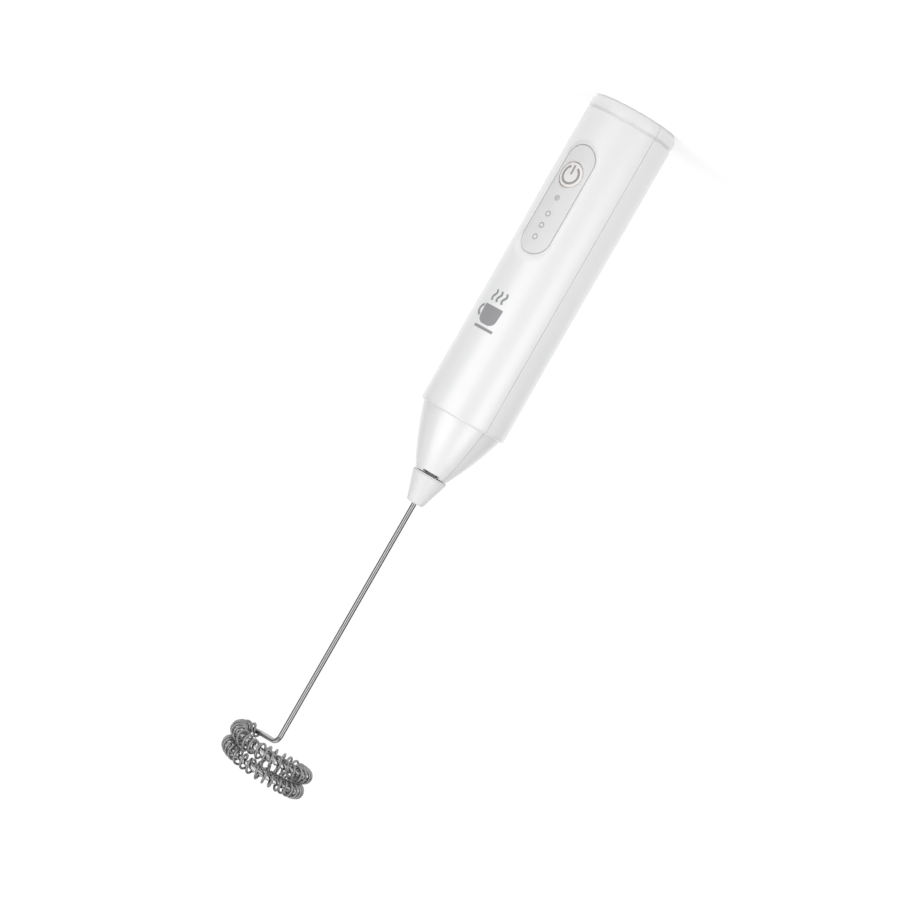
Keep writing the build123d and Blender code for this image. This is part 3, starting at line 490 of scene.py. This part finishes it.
def notch_cutter(turn_deg):
    """The block that cuts a finger notch into the rim of the nose, turned about the axis."""
    half, near, far = NOTCH_WIDTH / 2, 3.0, 9.0
    block = prism("notch", [(near, -half), (far, -half), (far, half), (near, half)],
                  NOSE_TIP_Z - NOTCH_DEPTH, NOSE_TIP_Z + 1.0, along_z)
    block.data.transform(Matrix.Rotation(math.radians(turn_deg), 4, "Z"))
    return block


def panel_pad():
    """The thick pad that closes the front cover behind the panel."""
    middle = (0, (PANEL_LOW.z + PANEL_HIGH.z) / 2)
    pad = prism("pad", stadium(PAD_WIDTH, PANEL_HIGH.z - PANEL_LOW.z + 6, middle),
                PAD_DEPTH, HANDLE_R - 1.5, along_y)
    wall_r = BORE_R + 0.9
    bound = lathe("bound", [(0.001, 5), (wall_r, 5), (wall_r, 70), (0.001, 70)], 96)
    return cut(pad, tidy(bound), "INTERSECT")


def panel_pocket():
    """The cutter for the pocket that the panel lies in, its floor bent to the handle."""
    middle = (0, (PANEL_LOW.z + PANEL_HIGH.z) / 2)
    pill = stadium(PANEL_HIGH.x * 2 + 2 * PANEL_MARGIN, PANEL_HIGH.z - PANEL_LOW.z + 2 * PANEL_MARGIN,
                   middle, 40)
    pocket = prism("pocket", pill, 11.0, 17.0, along_y)
    floor_r = PANEL_UNDER_R
    core = lathe("core", [(0.001, 0), (floor_r, 0), (floor_r, 80), (0.001, 80)], TURN_SEGMENTS)
    return cut(pocket, tidy(core))


def make_shells():
    """Both shells from one turned profile: the front cover inside the wedge, the housing outside it."""
    whole = lathe("front_cover_shell", housing_loop(), TURN_SEGMENTS)
    scoop(whole)
    tidy(whole)
    rear = whole.copy()
    rear.data = whole.data.copy()
    rear.name = "rear_housing_shell"
    bpy.context.scene.collection.objects.link(rear)

    front = cut(whole, wedge(0.0), "INTERSECT")
    cut(front, panel_pad(), "UNION")
    cut(front, panel_pocket())
    hole = stadium(BUTTON_HOLE, BUTTON_HOLE, (0, BUTTON_Z), 40)
    cut(front, prism("hole", hole, 9.0, 16.0, along_y))
    port_gap = 0.26
    port = stadium(USB_HIGH.x * 2 + port_gap, USB_HIGH.y - USB_LOW.y + port_gap,
                   (0, (USB_LOW.y + USB_HIGH.y) / 2), 20)
    cut(front, prism("port", port, -1.0, END_WALL + 1.0, along_z))
    cut(front, notch_cutter(NOTCH_DEG))
    tidy(front)
    place(front, "handle", "white_shell", ["front_cover"])

    cut(rear, wedge(SEAM_GAP / math.sin(SEAM_HALF)))
    cut(rear, notch_cutter(NOTCH_DEG + 180))
    tidy(rear)
    place(rear, "handle", "white_shell", ["rear_housing"])


# ---- Panel, button and lights --------------------------------------------------------------------------
def on_cylinder(x, radius):
    """The y of a point at x on the button side of a cylinder about the axis."""
    return -math.sqrt(radius * radius - x * x)


def curved_pill(name, low_end, high_end, half_width, rings, steps=40, rows=24):
    """A pill-shaped plate bent to the handle, from (inset, radius) rings that start under its middle."""
    low, high = low_end + half_width, high_end - half_width
    verts, faces = [], []
    loops = []
    for inset, radius in rings:
        r = half_width - inset
        loop = []
        outline = [(r * math.cos(t), high + r * math.sin(t))
                   for t in (math.pi * i / steps for i in range(steps + 1))]
        outline += span((-r, high), (-r, low), rows)[1:]
        outline += [(r * math.cos(t), low + r * math.sin(t))
                    for t in (math.pi + math.pi * i / steps for i in range(steps + 1))]
        outline += span((r, low), (r, high), rows)[1:]
        for x, z in outline:
            loop.append(len(verts))
            verts.append((x, on_cylinder(x, radius), z))
        loops.append(loop)
    for inner, outer in zip(loops, loops[1:]):
        count = len(inner)
        for i in range(count):
            j = (i + 1) % count
            faces.append((inner[i], inner[j], outer[j], outer[i]))
    return new_object(name, verts, faces)


def face_ring(name, centre_z, section, segments=96):
    """A closed ring about a line along Y, its section given as (distance from the line, handle radius)."""
    verts, faces = [], []
    count = len(section)
    for i in range(segments):
        turn = 2 * math.pi * i / segments
        for rho, radius in section:
            x = rho * math.cos(turn)
            verts.append((x, on_cylinder(x, radius), centre_z + rho * math.sin(turn)))
    for i in range(segments):
        a, b = i * count, (i + 1) % segments * count
        for j in range(count):
            k = (j + 1) % count
            faces.append((a + j, b + j, b + k, a + k))
    return new_object(name, verts, faces)


def make_panel():
    """The plate as a pill wrapped on the handle, with a rounded edge and holes for button and lights."""
    half = PANEL_HIGH.x
    edge = 0.22
    rows = 10
    inmost = half * 0.999
    rim = [(edge * (1 - math.sin(math.radians(a))), PANEL_R - edge * (1 - math.cos(math.radians(a))))
           for a in range(0, 91, 15)]
    rings = [(inmost * (1 - i / rows), PANEL_UNDER_R) for i in range(rows + 1)]
    rings += rim[::-1]
    rings += [(edge + (inmost - edge) * i / rows, PANEL_R) for i in range(1, rows + 1)]
    panel = curved_pill("control_panel_plate", PANEL_LOW.z, PANEL_HIGH.z, half, rings)
    close_medial(panel)
    hole = prism("bezel_hole", stadium(BEZEL_HOLE, BEZEL_HOLE, (0, BUTTON_Z), 48), 10.0, 17.0, along_y)
    cut(panel, hole)
    for z in light_heights():
        hole = prism("light_hole", stadium(LIGHT_HOLE, LIGHT_HOLE, (0, z), 20), 10.0, 17.0, along_y)
        cut(panel, hole)
    tidy(panel)
    place(panel, "handle", "grey_panel", ["control_panel"])


def close_medial(obj):
    """Welds the plate's two middle lines, which lie almost on themselves, and closes the mesh."""
    work = bmesh.new()
    work.from_mesh(obj.data)
    bmesh.ops.remove_doubles(work, verts=work.verts, dist=0.03 * MM)
    edges = [e for e in work.edges if e.is_boundary]
    if edges:
        bmesh.ops.holes_fill(work, edges=edges)
    bmesh.ops.recalc_face_normals(work, faces=work.faces)
    work.to_mesh(obj.data)
    work.free()


def light_heights():
    """Heights of the four lights, from the frame: one status light and three evenly grouped ones."""
    half = (STATUS_HIGH.z - STATUS_LOW.z) / 2
    first, last = SPEED_LOW.z + half, SPEED_HIGH.z - half
    return [STATUS_Z, first, (first + last) / 2, last]


def make_bezel():
    """The thin metal ring round the button, proud of the panel and rounded on top."""
    outer, inner, top = BEZEL_R, BEZEL_INNER_R, PANEL_R
    section = [(outer, PANEL_UNDER_R), (outer, top + 0.02), (outer - 0.04, top + 0.1),
               (outer - 0.12, top + 0.15), (inner + 0.1, top + 0.15), (inner + 0.03, top + 0.1),
               (inner, top), (inner, PANEL_UNDER_R)]
    ring = face_ring("button_bezel_ring", BUTTON_Z, section)
    tidy(ring, 50)
    place(ring, "handle", "bezel_metal", ["button_bezel"])


def button_dish(rho):
    """Handle radius of the button's slightly hollow face, at a distance from its middle."""
    return BUTTON_TOP_R - BUTTON_HOLLOW * max(0.0, 1 - (rho / BUTTON_HOLLOW_R) ** 2)


def make_button():
    """The button's cap with its hollow face, and the flange that holds it behind the cover."""
    top, edge, step = BUTTON_TOP_R, BUTTON_R, 0.35
    section = [(max(0.01, step * i), button_dish(step * i)) for i in range(12)]
    section += [(edge - 0.2, top - 0.02), (edge - 0.08, top - 0.07), (edge - 0.02, top - 0.15),
                (edge, top - 0.3), (edge, top - 1.6), (edge, 11.2)]
    verts, faces = [], []
    segments = 96
    count = len(section)
    for i in range(segments):
        turn = 2 * math.pi * i / segments
        for j, (rho, radius) in enumerate(section):
            x = rho * math.cos(turn)
            y = on_cylinder(x, radius) if j < count - 1 else -11.0
            verts.append((x, y, BUTTON_Z + rho * math.sin(turn)))
    for i in range(segments):
        a, b = i * count, (i + 1) % segments * count
        for j in range(count - 1):
            faces.append((a + j, b + j, b + j + 1, a + j + 1))
    faces.append(tuple(i * count for i in range(segments)))
    faces.append(tuple(i * count + count - 1 for i in range(segments)))
    button = new_object("power_button_cap", verts, faces)
    flange = prism("flange", stadium(BUTTON_FLANGE, BUTTON_FLANGE, (0, BUTTON_Z), 48), 10.3, 10.95, along_y)
    tidy(button, 50)
    cut(button, tidy(flange), "UNION")
    tidy(button, 50)
    place(button, "button", "button_metal", ["power_button"])


def flat_mark(name, outlines, surface, thickness=0.02):
    """Thin printed shapes on a curved face: each outline is a strip of (left, right) point pairs."""
    verts, faces = [], []
    for strip in outlines:
        base = len(verts)
        widest = max(math.dist(left, right) for left, right in strip)
        columns = max(2, math.ceil(widest / 0.4))
        ring = 2 * (columns + 1)
        for left, right in strip:
            across = span(left, right, columns) + [right]
            for points, lift in ((across, 0.0), (across[::-1], thickness)):
                verts += [(x, on_cylinder(x, surface(x, z) + lift), z) for x, z in points]
        rows = len(strip)
        for i in range(rows - 1):
            a, b = base + ring * i, base + ring * (i + 1)
            faces += [(a + k, a + (k + 1) % ring, b + (k + 1) % ring, b + k) for k in range(ring)]
        for a in (base, base + ring * (rows - 1)):
            faces += [(a + k, a + k + 1, a + ring - 2 - k, a + ring - 1 - k) for k in range(columns)]
    return tidy(new_object(name, verts, faces), 30)


def band(centre, radius, width, start_deg, end_deg, steps):
    """An arc-shaped strip."""
    strip = []
    for i in range(steps + 1):
        turn = math.radians(start_deg + (end_deg - start_deg) * i / steps)
        strip.append(tuple((centre[0] + r * math.cos(turn), centre[1] + r * math.sin(turn))
                           for r in (radius - width / 2, radius + width / 2)))
    return strip


def line_strip(points, width):
    """A strip of constant width along a polyline."""
    strip = []
    for i, point in enumerate(points):
        before, after = points[max(i - 1, 0)], points[min(i + 1, len(points) - 1)]
        dx, dz = after[0] - before[0], after[1] - before[1]
        size = math.hypot(dx, dz)
        nx, nz = -dz / size * width / 2, dx / size * width / 2
        strip.append(((point[0] - nx, point[1] - nz), (point[0] + nx, point[1] + nz)))
    return strip


def make_power_symbol():
    """The usual power sign, an open ring and a bar, its bar towards the cap end."""
    def surface(x, z):
        """Just under the button's hollow face."""
        return button_dish(math.hypot(x, z - BUTTON_Z)) - 0.005

    opening = 28
    ring = band((0, BUTTON_Z), 2.9, 0.78, -90 + opening, 270 - opening, 64)
    bar = line_strip(span((0, BUTTON_Z - 3.3), (0, BUTTON_Z + 0.3), 8), 0.72)
    mark = flat_mark("power_symbol", [ring, bar], surface)
    place(mark, "button", "light_grey", material="symbol_grey")


def make_lights():
    """Four domed light windows; the status light is plain, the speed lights have a raised rim."""
    for index, z in enumerate(light_heights()):
        dome = [(0.01, PANEL_R + 0.04), (0.4, PANEL_R + 0.03), (0.7, PANEL_R), (0.9, PANEL_R - 0.05),
                (LIGHT_R, PANEL_R - 0.12), (LIGHT_R, 12.0), (0.01, 12.0)]
        light = face_ring(f"light_window_{index}", z, dome, 40)
        tidy(light, 40)
        if index == 0:
            place(light, "handle", "light_grey", ["status_light"])
        else:
            place(light, "handle", "light_clear", ["speed_lights"] if index == 1 else ())
            ring = [(0.62, PANEL_R), (0.64, PANEL_R + 0.05), (0.72, PANEL_R + 0.075),
                    (0.86, PANEL_R + 0.075), (0.94, PANEL_R + 0.05), (0.96, PANEL_R),
                    (0.96, PANEL_R - 0.2), (0.62, PANEL_R - 0.2)]
            rim = face_ring(f"light_rim_{index}", z, ring, 48)
            tidy(rim, 50)
            place(rim, "handle", "light_grey", material="rim_grey")


def make_pictogram():
    """A generic steaming cup printed on the handle, upright when the cap end is up."""
    def surface(x, z):
        """Just under the round handle, the same at every point."""
        return HANDLE_R - 0.006

    middle = (PANEL_HIGH.z + HANDLE_LENGTH) / 2 - 5.0
    width, height, line = 7.4, 6.4, 0.95
    brim = middle - height / 2
    rows, shoulder = 24, 0.72
    cup = []
    for i in range(rows + 1):
        v = i / rows
        taper = width / 2 * (1 - 0.16 * v**2)
        bowl = 1.0 if v < shoulder else math.sqrt(max(0.0, 1 - ((v - shoulder) / 0.28) ** 2 * 0.82))
        cup.append(((-taper * bowl, brim + height * v), (taper * bowl, brim + height * v)))
    handle = band((width / 2 - 0.1, brim + 2.5), 1.75, line, -75, 80, 28)
    strips = [cup, handle]
    steps = 20
    for side in (-1, 0, 1):
        wave = [(side * 2.1 + 0.45 * math.sin(2 * math.pi * i / steps), brim - 1.5 - 3.8 * i / steps)
                for i in range(steps + 1)]
        strips.append(line_strip(wave, 0.8))
    reach, under = width / 2 + 0.4, brim + height + 1.3
    strips.append(line_strip(span((-reach, under), (reach, under), 16), line))
    mark = flat_mark("cup_pictogram", strips, surface)
    place(mark, "handle", "light_grey", material="mark_grey")


# ---- Whisk head ----------------------------------------------------------------------------------------
RING_R = 12.9                  # middle line of the two-turn core ring
RING_PITCH = 5.5
RING_DEG = -15.0
RING_Z = 231.6
HOOK_Z = 229.8
HOOK_LEAD_DEG = 25.0
SIDES = 8                      # the ring is bent as an octagon with rounded corners
CORNERS = 15
HOOK_BEND_R = 2.6
LEAD_BEND_R = 3.6
COIL_R = 2.28
COIL_END_R = 1.6
COIL_WIRE_R = 0.42
COIL_LOOPS = 62
COIL_START = 113.3             # length along the core wire where the spring begins
COIL_END_GAP = 1.2
COIL_STEPS = 28                # points round each loop
WIRE_SHRINK = 0.005            # keeps the round wires inside the solid ones


def ring_point(turn_deg, radius):
    """A point of the core ring's spiral after a turn, at a distance from the axis."""
    azimuth = math.radians(RING_DEG - turn_deg)
    return (radius * math.cos(azimuth), radius * math.sin(azimuth), RING_Z + RING_PITCH * turn_deg / 360)


def make_collar():
    """The cone with rounded ends, on its drive spigot and bored for the wire."""
    low, high, spigot_low = 132.0, COLLAR_HIGH.z, COLLAR_LOW.z + 0.02
    base, tip, spigot = 5.95, 2.85, 1.8
    slope = math.degrees(math.atan2(base - tip, high - low))
    rounding, foot = 0.85, 0.25
    inset = rounding * math.tan(math.radians((90 - slope) / 2))
    loop = [(spigot, spigot_low), (spigot, low)]
    loop += arc((base - foot * 1.25, low + foot), foot, -90, slope, 6)
    loop += span((base - (base - tip) * 0.05, low + (high - low) * 0.05), (tip + 0.28, high - 0.9), 30)
    loop += arc((tip - inset + 0.02, high - rounding), rounding, slope, 90, 10)
    loop += [(WIRE_R, high), (WIRE_R, spigot_low)]
    collar = tidy(lathe("whisk_collar_cone", loop, 120), 40)
    place(collar, "whisk", "white_collar", ["whisk_collar"])


def core_route():
    """The core wire's centre line: the straight shaft, the hook and the ring."""
    half = 180 / SIDES
    points = [(0, 0, COLLAR_LOW.z), (0, 0, HOOK_Z),
              ring_point(-HOOK_LEAD_DEG, RING_R / math.cos(math.radians(HOOK_LEAD_DEG)))]
    corner_r = RING_R / math.cos(math.radians(half))
    points += [ring_point(half * (2 * i + 1), corner_r) for i in range(CORNERS)]
    points.append(ring_point(half * 2 * CORNERS, RING_R))
    radii = [HOOK_BEND_R, LEAD_BEND_R] + [0.97 * RING_R] * CORNERS
    return rounded_route(points, radii, 0.35)


def make_shaft(route):
    """The bent steel wire."""
    wire = tidy(tube("whisk_shaft_wire", route, WIRE_R - WIRE_SHRINK, 24), 60)
    place(wire, "whisk", "stainless", ["whisk_shaft"])


def coil_points(route):
    """The spring wound on the core wire, its pitch and size a little uneven from loop to loop."""
    lengths = [0.0]
    for before, after in zip(route, route[1:]):
        lengths.append(lengths[-1] + (after - before).length)
    coil_length = lengths[-1] - COIL_START - COIL_END_GAP
    end_loops = 1.25
    points, k = [], 0
    for i in range(COIL_LOOPS * COIL_STEPS + 1):
        loop = i / COIL_STEPS
        ramp = min(1.0, loop / end_loops, (COIL_LOOPS - loop) / end_loops)
        uneven = math.sin(loop * 2.3) * 0.5 + math.sin(loop * 0.71 + 1.0) * 0.5
        radius = COIL_END_R + (COIL_R - 0.06 - COIL_END_R) * ramp + 0.05 * uneven * ramp
        along = COIL_START + coil_length * (loop + 0.16 * uneven * ramp) / COIL_LOOPS
        while k < len(lengths) - 2 and lengths[k + 1] < along:
            k += 1
        share = (along - lengths[k]) / (lengths[k + 1] - lengths[k])
        centre = route[k].lerp(route[k + 1], share)
        before = (route[k + 1] - route[k]).normalized()
        after = (route[min(k + 2, len(route) - 1)] - route[min(k + 1, len(route) - 2)]).normalized()
        heading = before.lerp(after, share).normalized()
        outward = Vector((0, 0, 1)).cross(heading).normalized()
        upward = heading.cross(outward)
        swing = 2 * math.pi * loop
        points.append(centre + (outward * math.cos(swing) + upward * math.sin(swing)) * radius)
    return points


def make_coil(route):
    """The spring on the core ring."""
    coil = tidy(tube("whisk_coil_spring", coil_points(route), COIL_WIRE_R - WIRE_SHRINK, 12), 60)
    place(coil, "whisk", "coil_steel", ["whisk_coil"])


# ---- Stage, lights and camera --------------------------------------------------------------------------
def make_floor():
    """A wide matt white disc that glows a little more with distance from the object."""
    bpy.ops.mesh.primitive_circle_add(vertices=128, radius=6.0, fill_type="NGON", location=(0, 0, 0))
    floor = bpy.context.object
    floor.name = "floor"
    material, shader = node_material("floor_white", (0.93, 0.93, 0.93), 0.9, specular=0.0)
    nodes, links = material.node_tree.nodes, material.node_tree.links
    coordinates = nodes.new("ShaderNodeTexCoord")
    reach = nodes.new("ShaderNodeVectorMath")
    reach.operation = "LENGTH"
    glow = nodes.new("ShaderNodeMapRange")
    glow.interpolation_type = "SMOOTHSTEP"
    glow.inputs["From Min"].default_value = 0.1
    glow.inputs["From Max"].default_value = 1.2
    glow.inputs["To Min"].default_value = 0.22
    glow.inputs["To Max"].default_value = 0.52
    links.new(coordinates.outputs["Object"], reach.inputs[0])
    links.new(reach.outputs["Value"], glow.inputs["Value"])
    links.new(glow.outputs["Result"], shader.inputs["Emission Strength"])
    shader.inputs["Emission Color"].default_value = (1, 1, 1, 1)
    floor.data.materials.append(material)


def area_light(name, azimuth_deg, height, distance, size, power, aim_z, ratio):
    """A soft box at a direction about the axis, aimed at a height on the axis."""
    data = bpy.data.lights.new(name, "AREA")
    data.shape = "RECTANGLE"
    data.size = size
    data.size_y = size * ratio
    data.energy = power
    light = bpy.data.objects.new(name, data)
    turn = math.radians(azimuth_deg)
    light.location = (distance * math.cos(turn), distance * math.sin(turn), height)
    toward = Vector((0, 0, aim_z)) - light.location
    light.rotation_euler = toward.to_track_quat("-Z", "Y").to_euler()
    bpy.context.scene.collection.objects.link(light)
    return light


VIEW_DEG = -127.0              # direction of the camera about the axis
VIEW_DISTANCE = 0.859
VIEW_HEIGHT = 0.1027
AIM_HEIGHT = 0.1213
AIM_SIDE = 0.0014
TILT_DEG = 29.85               # the long axis leans this far from the picture's vertical
LENS = 108.0
WORLD_STRENGTH = 1.05
ROOM_STOPS = [(0.1, 0.19), (0.5, 0.50), (1.0, 0.80)]        # grey against how steeply up or down
BACKDROP_STOPS = [(0.45, 0.0), (0.85, 1.0)]                 # grey against the cosine from the sight line


def make_camera():
    """A long lens level with the handle, rolled so that the whisk points down and to the left."""
    data = bpy.data.cameras.new("camera")
    data.lens = LENS
    data.sensor_width = 36.0
    data.clip_start = 0.01
    camera = bpy.data.objects.new("camera", data)
    turn = math.radians(VIEW_DEG)
    side = math.radians(VIEW_DEG - 90)
    eye = Vector((VIEW_DISTANCE * math.cos(turn), VIEW_DISTANCE * math.sin(turn), VIEW_HEIGHT))
    aim = Vector((AIM_SIDE * math.cos(side), AIM_SIDE * math.sin(side), AIM_HEIGHT))
    back = (eye - aim).normalized()
    up = (Vector((0, 0, 1)) - back * back.z).normalized()
    right = up.cross(back)
    roll = math.radians(180 + TILT_DEG)
    rolled_right = right * math.cos(roll) + up * math.sin(roll)
    rolled_up = up * math.cos(roll) - right * math.sin(roll)
    rotation = Matrix((rolled_right, rolled_up, back)).transposed()
    camera.matrix_world = Matrix.Translation(eye) @ rotation.to_4x4()
    bpy.context.scene.collection.objects.link(camera)
    bpy.context.scene.camera = camera


def grey_ramp(nodes, stops):
    """A colour ramp of greys from (position, grey) stops."""
    ramp = nodes.new("ShaderNodeValToRGB")
    ramp.color_ramp.interpolation = "EASE"
    elements = ramp.color_ramp.elements
    while len(elements) < len(stops):
        elements.new(0.5)
    for element, (position, grey) in zip(elements, stops):
        element.position = position
        element.color = (grey, grey, grey, 1.0)
    return ramp


def make_world():
    """A white backdrop behind the object in a room that is dim at eye level and bright above and below."""
    world = bpy.data.worlds.new("studio")
    world.use_nodes = True
    nodes, links = world.node_tree.nodes, world.node_tree.links
    coordinates = nodes.new("ShaderNodeTexCoord")
    along = nodes.new("ShaderNodeVectorMath")
    along.operation = "DOT_PRODUCT"
    away = math.radians(VIEW_DEG + 180)
    along.inputs[1].default_value = (math.cos(away), math.sin(away), 0.0)
    parts = nodes.new("ShaderNodeSeparateXYZ")
    rise = nodes.new("ShaderNodeMath")
    rise.operation = "ABSOLUTE"
    room = grey_ramp(nodes, ROOM_STOPS)
    backdrop = grey_ramp(nodes, BACKDROP_STOPS)
    blend = nodes.new("ShaderNodeMix")
    blend.data_type = "RGBA"
    blend.blend_type = "LIGHTEN"
    blend.inputs[0].default_value = 1.0
    links.new(coordinates.outputs["Generated"], along.inputs[0])
    links.new(coordinates.outputs["Generated"], parts.inputs["Vector"])
    links.new(parts.outputs["Z"], rise.inputs[0])
    links.new(rise.outputs["Value"], room.inputs["Fac"])
    links.new(along.outputs["Value"], backdrop.inputs["Fac"])
    links.new(room.outputs["Color"], blend.inputs[6])
    links.new(backdrop.outputs["Color"], blend.inputs[7])
    background = nodes["Background"]
    links.new(blend.outputs[2], background.inputs["Color"])
    background.inputs["Strength"].default_value = WORLD_STRENGTH
    bpy.context.scene.world = world


make_camera()
make_world()
make_floor()
area_light("key", VIEW_DEG + 38, height=0.46, distance=0.9, size=0.82, power=3.3, aim_z=0.20, ratio=1.2)
area_light("fill", VIEW_DEG - 37, height=0.45, distance=0.9, size=0.52, power=2.45, aim_z=0.20, ratio=1.85)
area_light("top", VIEW_DEG + 25, height=0.95, distance=0.5, size=0.90, power=1.1, aim_z=0.12, ratio=1.0)
bpy.context.scene.view_settings.view_transform = "Standard"

dress_cad_nodes()
make_shells()
make_panel()
make_bezel()
make_button()
make_power_symbol()
make_lights()
make_pictogram()
make_collar()
whisk_route = core_route()
make_shaft(whisk_route)
make_coil(whisk_route)
